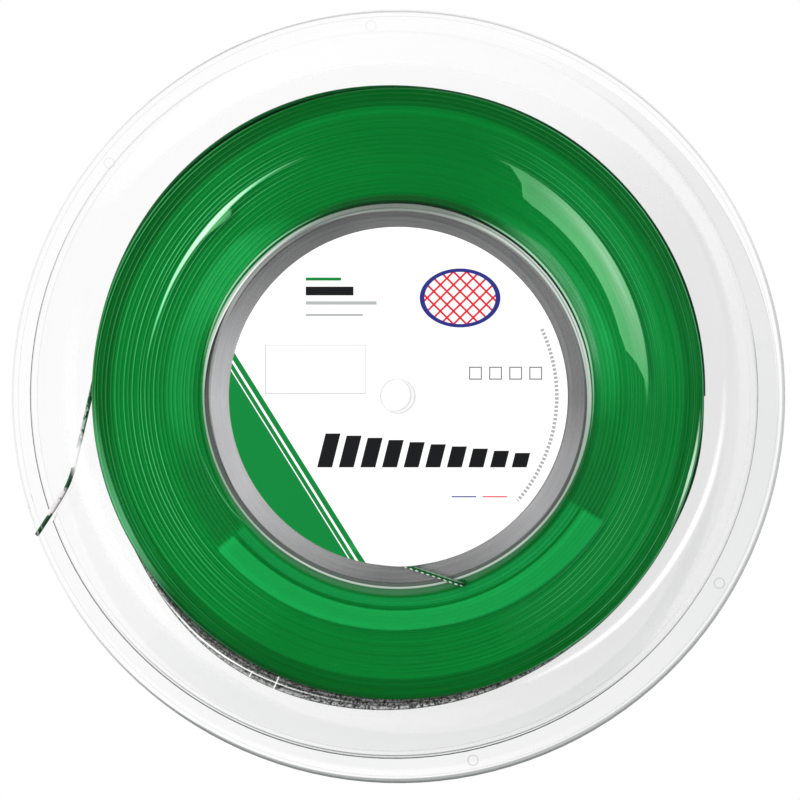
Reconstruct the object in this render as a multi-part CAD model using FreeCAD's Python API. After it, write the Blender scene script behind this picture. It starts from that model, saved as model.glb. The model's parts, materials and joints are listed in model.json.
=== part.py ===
import FreeCAD, Part
import math
import os

from FreeCAD import Vector

# A reel of racket string, lying on its rear rim: two clear flanges joined by a hub core,
# a paper label on the front flange, and the wound string with its two loose ends.
# The axis is Z, the front faces up, and z = 0 is the surface that the reel rests on.

# String
string_diameter = 1.2
string_clearance = 0.02
turn_sides = 4
cord_sides = 6

# Flanges
flange_radius = 100.0
flange_thickness = 1.6
rim_width = 1.6
rim_rise = 1.6
rim_chamfer = 0.4
channel_width = 23.8

# Hub core, and the flange collars that seat in its bore
hub_radius = 50.4
hub_wall = 1.45
hub_bore_chamfer = 0.4
collar_wall = 1.3
collar_height = 5.0
collar_clearance = 0.05
collar_lead = 0.5

# Snap lugs on the collars, and the windows in the hub core that they catch in
snap_lugs = 4
snap_first_angle = 45.0
snap_arc = 10.0
snap_height = 0.9
snap_length = 1.8
snap_place = 1.6
snap_clearance = 0.08

# Spindle hole with a boss on the inner side of each flange
spindle_radius = 4.5
boss_wall = 2.0
boss_height = 6.0
boss_chamfer = 0.6

# Hole for the string's inner end, beside the hub core
start_hole_radius = 1.3
start_hole_chamfer = 0.25
start_hole_angle = -71.0
start_hole_clearance = 0.05

# Wound string: a plain core under one outer layer of turns
winding_radius = 79.5
winding_side_gap = 0.05
winding_seat_gap = 0.03
winding_bore_gap = 0.05
winding_turns = 7
winding_end_angle = 145.0
arcs_per_turn = 2
least_turn_gap = 0.4
climb_angle = 22.0
climb_root = 1.0

# Inner end: up through the start hole, over the flange and under the label
inner_end_rise = 3.0
inner_end_line = [(11.37, -46.83), (0.25, -43.35), (-10.85, -39.60)]

# Outer end: (x, y, height above the rear flange's inner face) after the straight first run
outer_end_first_run = 20.8
outer_end_line = [
    (-82.50, 3.00, 0.65),
    (-85.50, -10.00, 0.65),
    (-87.30, -17.50, 0.65),
    (-88.57, -22.56, 0.65),
    (-90.46, -26.80, 0.60),
    (-94.50, -33.00, -0.20),
    (-98.30, -38.60, -0.95),
]

# Slot in the rear flange's rim that holds the outer end
catch_slot_width = 1.7
catch_slot_lead = 2.6
catch_slot_mouth = 3.4

# Paper label
label_radius = 43.9
label_thickness = 0.25
label_hole_radius = 4.75
tunnel_clearance = 0.1

# Heights of the faces
rear_outer_z = rim_rise
rear_inner_z = rear_outer_z + flange_thickness
front_inner_z = rear_inner_z + channel_width
front_outer_z = front_inner_z + flange_thickness

# Radii of the hub
hub_bore_radius = hub_radius - hub_wall
collar_outer_radius = hub_bore_radius - collar_clearance
collar_inner_radius = collar_outer_radius - collar_wall
boss_radius = spindle_radius + boss_wall

# String places
string_radius = string_diameter / 2
turn_radius = winding_radius - string_radius
core_radius = turn_radius - string_radius - winding_seat_gap
first_turn_z = front_inner_z - winding_side_gap - string_radius
last_turn_z = rear_inner_z + winding_side_gap + string_radius
string_over_flange_z = front_outer_z + string_clearance + string_radius
start_hole_place = hub_radius + start_hole_clearance + start_hole_radius


def revolved(points, sweep=360):
    """Turn a closed outline of (radius, z) points about Z, from the +X direction."""
    corners = [Vector(radius, 0, z) for radius, z in points]
    outline = Part.makePolygon(corners + corners[:1])
    return Part.Face(outline).revolve(Vector(0, 0, 0), Vector(0, 0, 1), sweep)


def round_the_hub(points, sweep):
    """Copies of one revolved sector, centred at each snap lug's angle."""
    sector = revolved(points, sweep)
    sector.rotate(Vector(0, 0, 0), Vector(0, 0, 1), snap_first_angle - sweep / 2)
    copies = []
    for _ in range(snap_lugs):
        copies.append(sector.copy())
        sector.rotate(Vector(0, 0, 0), Vector(0, 0, 1), 360 / snap_lugs)
    return copies


def flange(inner_z, outward):
    """One flange: disc, rim bead, boss and snap collar; outward is +1 in front and -1 behind."""
    rim_inner = flange_radius - rim_width
    rim_top = flange_thickness + rim_rise
    outline = [
        (spindle_radius, -boss_height),
        (boss_radius - boss_chamfer, -boss_height),
        (boss_radius, boss_chamfer - boss_height),
        (boss_radius, -boss_chamfer),
        (boss_radius + boss_chamfer, 0),
        (collar_inner_radius, 0),
        (collar_inner_radius, -collar_height),
        (collar_outer_radius - collar_lead, -collar_height),
        (collar_outer_radius, collar_lead - collar_height),
        (collar_outer_radius, 0),
        (flange_radius, 0),
        (flange_radius, rim_top - rim_chamfer),
        (flange_radius - rim_chamfer, rim_top),
        (rim_inner + rim_chamfer, rim_top),
        (rim_inner, rim_top - rim_chamfer),
        (rim_inner, flange_thickness),
        (spindle_radius, flange_thickness),
    ]
    lug = [
        (collar_outer_radius - collar_wall / 2, -snap_place),
        (collar_outer_radius + snap_height, -snap_place),
        (collar_outer_radius, -snap_place - snap_length),
        (collar_outer_radius - collar_wall / 2, -snap_place - snap_length),
    ]
    disc = revolved([(radius, inner_z + outward * depth) for radius, depth in outline])
    lugs = round_the_hub([(radius, inner_z + outward * depth) for radius, depth in lug], snap_arc)
    return disc.fuse(lugs).removeSplitter()


def start_hole_centre():
    """Where the start hole's axis crosses the plane z = 0."""
    angle = math.radians(start_hole_angle)
    return Vector(start_hole_place * math.cos(angle), start_hole_place * math.sin(angle), 0)


def front_flange():
    """The front flange, with the chamfered hole that the string's inner end comes through."""
    mouth = start_hole_radius + start_hole_chamfer
    cutter = revolved([
        (0, front_inner_z - 1),
        (mouth, front_inner_z - 1),
        (mouth, front_inner_z),
        (start_hole_radius, front_inner_z + start_hole_chamfer),
        (start_hole_radius, front_outer_z - start_hole_chamfer),
        (mouth, front_outer_z),
        (mouth, front_outer_z + 1),
        (0, front_outer_z + 1),
    ])
    cutter.translate(start_hole_centre())
    return flange(front_inner_z, 1).cut(cutter)


def catch_slot():
    """The slanted slot under the outer end's last run but one, round inside and flared at the rim."""
    inner = Vector(*outer_end_line[-3][:2], 0)
    outer = Vector(*outer_end_line[-2][:2], 0)
    along = (outer - inner).normalize()
    across = Vector(-along.y, along.x, 0)
    end = inner - along * catch_slot_lead
    half = catch_slot_width / 2
    half_mouth = catch_slot_mouth / 2

    # Distance along the slot to the rim's inner wall, where the mouth starts to widen
    lead_in = end.dot(along)
    side_step = end.dot(across)
    flare = math.sqrt((flange_radius - rim_width) ** 2 - side_step ** 2) - lead_in
    beyond = flare + 2 * rim_width

    left = end + across * half
    right = end - across * half
    edges = [
        Part.Arc(left, end - along * half, right).toShape(),
        Part.makeLine(right, end + along * flare - across * half),
        Part.makeLine(end + along * flare - across * half, end + along * beyond - across * half_mouth),
        Part.makeLine(end + along * beyond - across * half_mouth, end + along * beyond + across * half_mouth),
        Part.makeLine(end + along * beyond + across * half_mouth, end + along * flare + across * half),
        Part.makeLine(end + along * flare + across * half, left),
    ]
    slot = Part.Face(Part.Wire(edges)).extrude(Vector(0, 0, rear_inner_z + 2))
    slot.translate(Vector(0, 0, -1))
    return slot


def rear_flange():
    """The rear flange, with the slot that holds the string's outer end."""
    return flange(rear_inner_z, -1).cut(catch_slot())


def hub_core():
    """The tube between the flanges, with chamfered ends and windows for the snap lugs."""
    mouth = hub_bore_radius + hub_bore_chamfer
    tube_wall = revolved([
        (mouth, rear_inner_z),
        (hub_bore_radius, rear_inner_z + hub_bore_chamfer),
        (hub_bore_radius, front_inner_z - hub_bore_chamfer),
        (mouth, front_inner_z),
        (hub_radius, front_inner_z),
        (hub_radius, rear_inner_z),
    ])
    near = snap_place - snap_clearance
    far = snap_place + snap_length + snap_clearance
    inside = hub_bore_radius - 1
    outside = hub_radius + 1
    sweep = snap_arc + 2 * math.degrees(snap_clearance / hub_radius)
    windows = []
    for low, high in (
        (rear_inner_z + near, rear_inner_z + far),
        (front_inner_z - far, front_inner_z - near),
    ):
        windows += round_the_hub([(inside, low), (outside, low), (outside, high), (inside, high)], sweep)
    return tube_wall.cut(windows)


def tangent_at(angle):
    """Level direction of the winding at an angle, the way the string runs."""
    return Vector(-math.sin(angle), math.cos(angle), 0)


def turn_point(angle, z):
    """A point on the middle line of the outer layer."""
    return Vector(turn_radius * math.cos(angle), turn_radius * math.sin(angle), z)


def climb():
    """The string's rise from the layer below, ending square against the first turn."""
    angle = math.radians(winding_end_angle)
    along = tangent_at(angle)
    out = Vector(math.cos(angle), math.sin(angle), 0)
    meets = turn_point(angle, 0) - along * string_diameter
    top = meets + out * string_radius
    foot_angle = angle - math.radians(climb_angle)
    middle_angle = angle - math.radians(climb_angle) / 2
    middle_radius = (core_radius + winding_radius) / 2
    foot = Vector(core_radius * math.cos(foot_angle), core_radius * math.sin(foot_angle), 0)
    middle = Vector(middle_radius * math.cos(middle_angle), middle_radius * math.sin(middle_angle), 0)
    root = meets - out * (string_radius + climb_root)
    foot_root = foot * ((core_radius - climb_root) / core_radius)
    edges = [
        Part.Arc(foot, middle, top).toShape(),
        Part.makeLine(top, root),
        Part.makeLine(root, foot_root),
        Part.makeLine(foot_root, foot),
    ]
    rise = Part.Face(Part.Wire(edges)).extrude(Vector(0, 0, string_diameter))
    rise.translate(Vector(0, 0, first_turn_z - string_radius))
    return rise


def string_core():
    """The lower layers as one plain ring, with the climb and a seat for the inner end."""
    low = rear_inner_z + winding_side_gap
    high = front_inner_z - winding_side_gap
    inner = hub_radius + winding_bore_gap
    ring = revolved([(inner, low), (core_radius, low), (core_radius, high), (inner, high)])
    seat_z = string_over_flange_z - inner_end_rise
    seat = Part.makeCylinder(string_radius + string_clearance, high - seat_z + 1)
    seat.translate(start_hole_centre() + Vector(0, 0, seat_z))
    return ring.fuse(climb()).removeSplitter().cut(seat)


def biarc(start, start_way, end, end_way):
    """Two arcs that leave start along start_way, meet smoothly and reach end along end_way."""
    # The arcs meet halfway between the ends of two equal tangents of length reach,
    # where |end - start - reach (start_way + end_way)| = 2 reach.
    gap = end - start
    ways = start_way + end_way
    square = ways.dot(ways) - 4
    linear = -2 * gap.dot(ways)
    reach = (-linear - math.sqrt(linear ** 2 - 4 * square * gap.dot(gap))) / (2 * square)
    reach = abs(reach)
    start_apex = start + start_way * reach
    end_apex = end - end_way * reach
    joint = (start_apex + end_apex) * 0.5
    return [arc_under(start, start_apex, joint), arc_under(joint, end_apex, end)]


def arc_under(start, apex, end):
    """The arc from start to end whose end tangents meet at the apex."""
    middle = (start + end) * 0.5
    half_chord = (end - start).Length / 2
    rise = apex - middle
    half_turn = math.atan2(rise.Length, half_chord)
    sag = half_chord * math.tan(half_turn / 2)
    return Part.Arc(start, middle + rise.normalize() * sag, end).toShape()


def section(start, way, sides):
    """The string's faceted cross-section at the start of a path, one corner facing outwards."""
    side = way.cross(Vector(0, 0, 1))
    if side.Length < 0.5:
        side = Vector(1, 0, 0)
    side.normalize()
    up = side.cross(way)
    corners = []
    for corner in range(sides):
        angle = 2 * math.pi * corner / sides
        outwards = side * math.cos(angle) + up * math.sin(angle)
        corners.append(start + outwards * string_radius)
    return Part.makePolygon(corners + corners[:1])


def tube(name, edges, start, way, sides):
    """Carry the string's section along a path, and print its volume against area times length."""
    path = Part.Wire(edges)
    solid = path.makePipeShell([section(start, way, sides)], True, False)
    area = sides * string_radius ** 2 * math.sin(2 * math.pi / sides) / 2
    share = solid.Volume / (area * path.Length)
    print(f"{name}: length {path.Length:.2f} mm, volume over section times length {share:.5f}")
    return solid


def string_turns():
    """The outer layer: one unbroken helix of biarcs with a straight stretch at each end."""
    end_angle = math.radians(winding_end_angle)
    steps = winding_turns * arcs_per_turn
    drop = (first_turn_z - last_turn_z) / steps
    slope = drop / (2 * math.pi * turn_radius / arcs_per_turn)
    points = []
    ways = []
    for step in range(steps + 1):
        angle = end_angle + 2 * math.pi * step / arcs_per_turn
        inside = 0 < step < steps
        points.append(turn_point(angle, first_turn_z - drop * step))
        ways.append((tangent_at(angle) - Vector(0, 0, slope if inside else 0)).normalize())
    begin = points[0] - ways[0] * string_diameter
    finish = points[-1] + ways[-1] * string_diameter
    edges = [Part.makeLine(begin, points[0])]
    for step in range(steps):
        edges += biarc(points[step], ways[step], points[step + 1], ways[step + 1])
    edges.append(Part.makeLine(points[-1], finish))
    print_turn_gap(edges)
    return tube("string_turns", edges, begin, ways[0], turn_sides)


def print_turn_gap(edges):
    """Print the least gap between neighbouring turns, measured on points along the path."""
    path = Part.Wire(edges)
    points_per_turn = 720
    near = 72
    points = path.discretize(Number=winding_turns * points_per_turn)
    least = math.inf
    for first in range(0, len(points), near // 8):
        one_turn_on = first + points_per_turn
        for second in range(one_turn_on - near, min(one_turn_on + near, len(points))):
            least = min(least, points[first].distanceToPoint(points[second]))
    gap = least - string_diameter
    print(f"string_turns: least gap to itself {gap:.3f} mm, wanted over {least_turn_gap} mm")


def cord(name, points):
    """A cord along straight runs joined by tangent arcs as large as the runs allow."""
    edges = []
    place = points[0]
    radii = []
    for before, corner, after in zip(points, points[1:], points[2:]):
        run_in = corner - before
        run_out = after - corner
        half_turn = run_in.getAngle(run_out) / 2
        reach = 0.45 * min(run_in.Length, run_out.Length)
        arc_start = corner - run_in.normalize() * reach
        arc_end = corner + run_out.normalize() * reach
        radii.append(reach / math.tan(half_turn))
        edges.append(Part.makeLine(place, arc_start))
        edges.append(arc_under(arc_start, corner, arc_end))
        place = arc_end
    edges.append(Part.makeLine(place, points[-1]))
    print(f"{name}: arc radii {', '.join(f'{radius:.1f}' for radius in radii)} mm")
    return tube(name, edges, points[0], (points[1] - points[0]).normalize(), cord_sides)


def inner_end_points():
    """Route of the string's inner end, from its seat in the pack to its tip under the label."""
    hole = start_hole_centre()
    over = hole + Vector(0, 0, string_over_flange_z)
    route = [over - Vector(0, 0, inner_end_rise), over]
    return route + [Vector(x, y, string_over_flange_z) for x, y in inner_end_line]


def outer_end_points():
    """Route of the string's outer end, from the last turn to its tip past the rim."""
    angle = math.radians(winding_end_angle)
    along = tangent_at(angle)
    leaves = turn_point(angle, last_turn_z) + along * string_diameter
    route = [leaves, leaves + along * outer_end_first_run]
    return route + [Vector(x, y, rear_inner_z + height) for x, y, height in outer_end_line]


def tunnel(radius, tip, back):
    """An upright arch of the given radius over the string's last run, round at its inner end."""
    low = front_outer_z
    length = (back - tip).Length
    along = (back - tip).normalize()
    across = Vector(-along.y, along.x, 0)
    base = Vector(tip.x, tip.y, low)
    left = base + across * radius
    right = base - across * radius
    spring = Vector(0, 0, string_over_flange_z - low)
    arch = Part.Wire([
        Part.makeLine(right, left),
        Part.makeLine(left, left + spring),
        Part.Arc(left + spring, base + spring + Vector(0, 0, radius), right + spring).toShape(),
        Part.makeLine(right + spring, right),
    ])
    half = Part.Wire([
        Part.makeLine(base, left),
        Part.makeLine(left, left + spring),
        Part.Arc(
            left + spring,
            base + spring + (across + Vector(0, 0, 1)) * (radius * math.sqrt(0.5)),
            base + spring + Vector(0, 0, radius),
        ).toShape(),
        Part.makeLine(base + spring + Vector(0, 0, radius), base),
    ])
    straight = Part.Face(arch).extrude(along * length)
    nose = Part.Face(half).revolve(base, Vector(0, 0, 1), 180)
    return straight.fuse(nose).removeSplitter()


def label():
    """The round paper label, lifted into a tunnel over the tucked end of the string."""
    points = inner_end_points()
    tip = points[-1]
    back = points[-2]
    inside = string_radius + tunnel_clearance
    beyond = back + (back - tip).normalize() * (3 * string_diameter)
    reach = tip + (tip - back).normalize() * tunnel_clearance
    limit = Part.makeCylinder(label_radius, 4 * string_diameter)
    limit.translate(Vector(0, 0, front_outer_z))
    sheet = Part.makeCylinder(label_radius, label_thickness)
    sheet.translate(Vector(0, 0, front_outer_z))
    hole = Part.makeCylinder(label_hole_radius, 4 * string_diameter)
    hole.translate(Vector(0, 0, front_outer_z - 1))
    ridge = tunnel(inside + label_thickness, reach, beyond).common(limit)
    return sheet.fuse(ridge).removeSplitter().cut(tunnel(inside, reach, beyond)).cut(hole)


nodes = {
    "front_flange": front_flange(),
    "rear_flange": rear_flange(),
    "hub_core": hub_core(),
    "string_core": string_core(),
    "string_turns": string_turns(),
    "string_inner_end": cord("string_inner_end", inner_end_points()),
    "string_outer_end": cord("string_outer_end", outer_end_points()),
    "label": label(),
}

os.makedirs("parts", exist_ok=True)
for node, shape in nodes.items():
    print(f"{node}: valid {shape.isValid()}, solids {len(shape.Solids)}, volume {shape.Volume:.1f} mm3")
    shape.exportStep(f"parts/{node}.step")
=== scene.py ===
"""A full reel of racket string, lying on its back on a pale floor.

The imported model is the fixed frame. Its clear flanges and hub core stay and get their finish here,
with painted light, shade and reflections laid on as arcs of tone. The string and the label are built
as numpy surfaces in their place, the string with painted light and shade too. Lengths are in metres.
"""

import json
import logging
import math
from dataclasses import dataclass, field
from enum import Enum
from typing import Callable, Sequence

import bpy
import numpy as np
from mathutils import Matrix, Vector

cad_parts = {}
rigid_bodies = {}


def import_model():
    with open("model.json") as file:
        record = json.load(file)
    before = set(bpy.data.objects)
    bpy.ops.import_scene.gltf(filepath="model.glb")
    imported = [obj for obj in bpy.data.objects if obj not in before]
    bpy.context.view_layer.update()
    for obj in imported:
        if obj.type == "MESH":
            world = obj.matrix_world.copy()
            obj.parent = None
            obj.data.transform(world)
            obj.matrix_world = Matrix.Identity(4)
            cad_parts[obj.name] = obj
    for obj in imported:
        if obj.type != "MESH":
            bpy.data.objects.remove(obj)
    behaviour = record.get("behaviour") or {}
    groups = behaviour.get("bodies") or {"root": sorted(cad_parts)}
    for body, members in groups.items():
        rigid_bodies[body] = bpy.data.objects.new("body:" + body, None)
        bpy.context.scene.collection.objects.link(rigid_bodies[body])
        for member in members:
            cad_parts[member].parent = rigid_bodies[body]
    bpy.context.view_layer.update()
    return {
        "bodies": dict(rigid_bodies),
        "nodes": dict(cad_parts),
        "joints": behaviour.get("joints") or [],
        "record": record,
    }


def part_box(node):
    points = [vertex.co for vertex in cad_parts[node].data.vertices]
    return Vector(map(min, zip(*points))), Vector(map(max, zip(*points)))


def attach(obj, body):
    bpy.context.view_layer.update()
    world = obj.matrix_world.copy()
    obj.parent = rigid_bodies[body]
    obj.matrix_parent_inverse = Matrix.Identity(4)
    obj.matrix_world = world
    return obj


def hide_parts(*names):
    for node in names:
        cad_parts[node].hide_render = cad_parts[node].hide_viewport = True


LOG = logging.getLogger("string_reel")

MM = 0.001
TURN = 2 * math.pi
IMAGE_SIZE = 800
SENSOR_WIDTH = 36.0
WHITE = (1.0, 1.0, 1.0, 1.0)

# The tucked end seen from above: the line y = TUCK_START + TUCK_SLOPE x, in millimetres
TUCK_START = -43.14
TUCK_SLOPE = -0.336


def arithmetic(operation: str, swapped: bool = False) -> Callable[..., "Socket"]:
    """Makes a method of Socket.

    Args:
        operation: the Math node's operation.
        swapped: whether the other number comes first.
    Returns:
        the method, which adds that node and gives its result.
    """

    def method(self: "Socket", *others: "Socket | float") -> "Socket":
        """Adds the node for this number and the others. Returns: its result."""
        values = (*others, self) if swapped else (self, *others)
        return self.graph.node("ShaderNodeMath", {"operation": operation}, dict(enumerate(values)))

    return method


class Socket:
    """A number on its way through a finish, which takes part in Python arithmetic.

    above gives 1 where it is greater than the other number and 0 elsewhere. left_over is what stays
    after every full step of the other's length is taken off. towards is the angle, in radians, of a
    place this far up and that far across.
    """

    __add__ = arithmetic("ADD")
    __radd__ = arithmetic("ADD", swapped=True)
    __sub__ = arithmetic("SUBTRACT")
    __rsub__ = arithmetic("SUBTRACT", swapped=True)
    __mul__ = arithmetic("MULTIPLY")
    __rmul__ = arithmetic("MULTIPLY", swapped=True)
    __truediv__ = arithmetic("DIVIDE")
    __pow__ = arithmetic("POWER")
    __abs__ = arithmetic("ABSOLUTE")
    at_most = arithmetic("MINIMUM")
    at_least = arithmetic("MAXIMUM")
    root = arithmetic("SQRT")
    above = arithmetic("GREATER_THAN")
    left_over = arithmetic("FLOORED_MODULO")
    towards = arithmetic("ARCTAN2")

    def __init__(self, graph: "Graph", output: bpy.types.NodeSocket) -> None:
        """Wraps an output socket of a node in the graph."""
        self.graph = graph
        self.output = output

    def clamped(self) -> "Socket":
        """Kept from 0 to 1."""
        return self.at_least(0.0).at_most(1.0)

    def step(self, low: float, high: float) -> "Socket":
        """0 up to low, 1 from high, and a smooth rise between them."""
        settings = {"interpolation_type": "SMOOTHSTEP"}
        inputs = {"Value": self, "From Min": low, "From Max": high, "To Min": 0.0, "To Max": 1.0}
        return self.graph.node("ShaderNodeMapRange", settings, inputs)

    def between(self, low: float, high: float, soft: float) -> "Socket":
        """1 from low to high, falling to 0 over the soft distance outside them."""
        return self.step(low - soft, low) * (1.0 - self.step(high, high + soft))


class Graph:
    """The node tree of one finish, with the few calls that all of them use."""

    def __init__(self, name: str, world: bool = False) -> None:
        """Starts an empty material, or an empty world, of that name."""
        self.owner = (bpy.data.worlds if world else bpy.data.materials).new(name)
        self.owner.use_nodes = True
        self.tree = self.owner.node_tree
        self.tree.nodes.clear()
        self.ending = "ShaderNodeOutputWorld" if world else "ShaderNodeOutputMaterial"

    def node(
        self, kind: str, settings: dict | None = None, inputs: dict | None = None, output: int | str = 0
    ) -> Socket:
        """Adds a node.

        Args:
            kind: the node's type.
            settings: its own settings, set first. "stops" fills a colour ramp.
            inputs: the value or link of each named or numbered input.
            output: which of its outputs is wanted.
        Returns:
            that output.
        """
        made = self.tree.nodes.new(kind)
        for key, value in (settings or {}).items():
            if key == "stops":
                self._fill_ramp(made.color_ramp, value)
            else:
                setattr(made, key, value)
        for key, value in (inputs or {}).items():
            socket = made.inputs[key]
            if isinstance(value, Socket):
                self.tree.links.new(value.output, socket)
            else:
                socket.default_value = value
        return Socket(self, made.outputs[output])

    @staticmethod
    def _fill_ramp(ramp: bpy.types.ColorRamp, stops: Sequence[tuple[float, tuple]]) -> None:
        """Puts the stops, each a place and a colour, on a ramp."""
        while len(ramp.elements) < len(stops):
            ramp.elements.new(1.0)
        for element, (place, colour) in zip(ramp.elements, stops):
            element.position = place
            element.color = colour

    def place(self) -> Socket:
        """Object coordinates, in metres."""
        return self.node("ShaderNodeTexCoord", output="Object")

    def axes(self, vector: Socket) -> tuple[Socket, Socket, Socket]:
        """The three numbers of a vector."""
        split = self.node("ShaderNodeSeparateXYZ", inputs={0: vector})
        outputs = split.output.node.outputs
        return split, Socket(self, outputs[1]), Socket(self, outputs[2])

    def polar(self) -> tuple[Socket, Socket, Socket, Socket, Socket]:
        """Returns: x, y, z and distance from the reel's axis in millimetres, and angle in degrees."""
        x, y, z = (axis * (1 / MM) for axis in self.axes(self.place()))
        return x, y, z, (x * x + y * y).root(), y.towards(x) * (360.0 / TURN)

    def vector(self, x: Socket | float, y: Socket | float, z: Socket | float) -> Socket:
        """A vector of three numbers."""
        return self.node("ShaderNodeCombineXYZ", inputs={0: x, 1: y, 2: z})

    def attribute(self, name: str) -> Socket:
        """A number kept on the piece's own vertices."""
        return self.node("ShaderNodeAttribute", {"attribute_name": name}, output="Fac")

    def noise(self, vector: Socket, scale: float, detail: float = 2.0, roughness: float = 0.5) -> Socket:
        """Soft noise from 0 to 1."""
        inputs = {"Vector": vector, "Scale": scale, "Detail": detail, "Roughness": roughness}
        return self.node("ShaderNodeTexNoise", inputs=inputs)

    def blend(self, share: Socket | float, first: Socket | tuple, second: Socket | tuple) -> Socket:
        """Mixes two colours: the first at share 0, the second at share 1."""
        settings = {"data_type": "RGBA"}
        return self.node("ShaderNodeMix", settings, {0: share, 6: first, 7: second}, output=2)

    def bump(self, height: Socket, strength: float, distance: float) -> Socket:
        """A normal that follows a height, in units of the distance."""
        inputs = {"Height": height, "Strength": strength, "Distance": distance}
        return self.node("ShaderNodeBump", inputs=inputs)

    def ray(self, kind: str) -> Socket:
        """1 for rays of one kind, such as Is Camera Ray, and 0 for the rest."""
        return self.node("ShaderNodeLightPath", output=kind)

    def solid(
        self, base: Socket, rough: Socket | float, specular: float, normal: Socket | None = None
    ) -> Socket:
        """The shader of a solid surface, from its colour, roughness, specular level and normal."""
        inputs = {"Base Color": base, "Roughness": rough, "Specular IOR Level": specular}
        if normal is not None:
            inputs["Normal"] = normal
        return self.node("ShaderNodeBsdfPrincipled", inputs=inputs)

    def finish(self, shader: Socket) -> bpy.types.ID:
        """Ends the tree with this shader. Returns: the material or the world."""
        self.tree.links.new(shader.output, self.tree.nodes.new(self.ending).inputs["Surface"])
        return self.owner


def colour(code: str, alpha: float = 1.0) -> tuple[float, float, float, float]:
    """The linear colour of a six-digit sRGB code."""
    parts = [int(code[place:place + 2], 16) / 255 for place in (0, 2, 4)]
    linear = [part / 12.92 if part <= 0.04045 else ((part + 0.055) / 1.055) ** 2.4 for part in parts]
    return (*linear, alpha)


@dataclass(frozen=True)
class Arc:
    """A tone that lies on the reel like a ring or a piece of one. The script paints light, shade and
    reflections with arcs.

    Each stop holds an angle in degrees, an inner and an outer radius in millimetres and a cover
    from 0 to 1. Between the stops all four change evenly. Soft is the width of both edges in
    millimetres, feather a wider inner edge, streaks the depth of fine lines along the arc, and
    specks breaks it up into grains: the higher, the fewer. Low and span are the range of radii in
    which the stops are kept, and grain is the scale of the specks.
    """

    shade: str
    stops: tuple[tuple[float, float, float, float], ...]
    soft: float = 0.15
    feather: float = 0.0
    streaks: float = 0.0
    specks: float = 0.0
    low: float = 40.0
    span: float = 64.0
    grain: float = 1400.0

    def scaled(self, radius: Socket | float) -> Socket | float:
        """A radius as its share of the range in which the stops are kept."""
        return (radius - self.low) / self.span

    def mask(self, radius: Socket, angle: Socket) -> Socket:
        """Args: radius in millimetres and angle in degrees. Returns: the cover at that place."""
        graph = radius.graph
        first = self.stops[0][0]
        whole = self.stops[-1][0] - first
        turned = (angle - first).left_over(360.0)
        places = [
            ((at - first) / whole, (self.scaled(inner), self.scaled(outer), cover, 1.0))
            for at, inner, outer, cover in self.stops
        ]
        ramp = graph.node("ShaderNodeValToRGB", {"stops": places}, {0: turned / whole})
        inner, outer, cover = graph.axes(ramp)
        reach = self.scaled(radius)
        soft = self.soft / self.span
        feather = max(self.soft, self.feather) / self.span
        ring = ((reach - inner) / feather + 0.5).clamped() * ((outer - reach) / soft + 0.5).clamped()
        if self.streaks > 0.0:
            lines = graph.noise(graph.vector(radius, angle * 0.03, 0.0), 1.5, 2.0)
            ring = ring * (1.0 - self.streaks * lines.step(0.40, 0.60))
        if self.specks > 0.0:
            grains = graph.noise(graph.place(), self.grain, 3.0, 0.7)
            ring = ring * grains.step(self.specks, self.specks + 0.16)
        return ring * cover * (1.0 - turned.above(whole))


def hoop(
    shade: str, inner: float, outer: float, covers: Sequence[tuple[float, float]], **looks: float
) -> Arc:
    """An arc of even width.

    Args:
        shade, inner, outer: its colour and both radii.
        covers: the angle and the cover of each stop.
        looks: the arc's other fields.
    Returns:
        the arc.
    """
    return Arc(shade, tuple((at, inner, outer, cover) for at, cover in covers), **looks)


@dataclass(frozen=True)
class ClearPlastic:
    """Clear moulded plastic: see-through and glossy, with a faint haze, and with painted shade, reflections
    and highlights laid on as arcs.
    """

    name: str
    tint: str = "8b9290"
    haze: float = 0.0015
    edge_haze: float = 0.14
    gloss: float = 0.008
    edge_gloss: float = 0.9
    roughness: float = 0.04
    face: float = 0.0
    arcs: tuple[Arc, ...] = ()
    marks: tuple[tuple[float, float, float], ...] = ()
    mark_shade: str = "747878"
    mark_ring: tuple[float, float, float] = (1.22, 1.42, 0.1)

    def mark(self, x: Socket, y: Socket, at: float, out: float, strength: float) -> Socket:
        """A small ring left by the mould. Args: its angle, radius and strength. Returns: its mask."""
        across = x - out * math.cos(math.radians(at))
        along = y - out * math.sin(math.radians(at))
        return (across * across + along * along).root().between(*self.mark_ring) * strength

    def build(self) -> bpy.types.Material:
        """Returns: the material. It is glossier seen edge on, and haze and the painted tones of light and
        shade hide the view.
        """
        graph = Graph(self.name)
        x, y, z, radius, angle = graph.polar()
        normal = graph.bump(graph.noise(graph.place(), 60.0, 3.0), 0.3, 0.0001)
        facing = graph.node("ShaderNodeLayerWeight", inputs={"Blend": 0.5}, output="Facing")
        gloss = (facing ** 5.0) * self.edge_gloss + self.gloss
        cover = (facing ** 4.0) * self.edge_haze + self.haze
        shade: Socket | tuple = colour(self.tint)
        above = z.above(self.face)
        # Painted light, shade and reflections from the arcs, and the mould's marks, laid over the haze
        tones = [(arc.mask(radius, angle), arc.shade) for arc in self.arcs]
        tones += [(self.mark(x, y, *mark), self.mark_shade) for mark in self.marks]
        for tone, code in tones:
            mask = tone * above
            cover = mask + cover * (1.0 - mask)
            shade = graph.blend((mask / cover.at_least(0.001)).clamped(), shade, colour(code))
        body = graph.solid(shade, 0.3, 0.0, normal)
        clear = graph.node("ShaderNodeBsdfTransparent", inputs={"Color": WHITE})
        mirror = graph.node("ShaderNodeBsdfGlossy", inputs={"Roughness": self.roughness, "Normal": normal})
        shell = graph.node("ShaderNodeMixShader", inputs={0: gloss, 1: clear, 2: mirror})
        return graph.finish(graph.node("ShaderNodeMixShader", inputs={0: cover, 1: shell, 2: body}))


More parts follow.
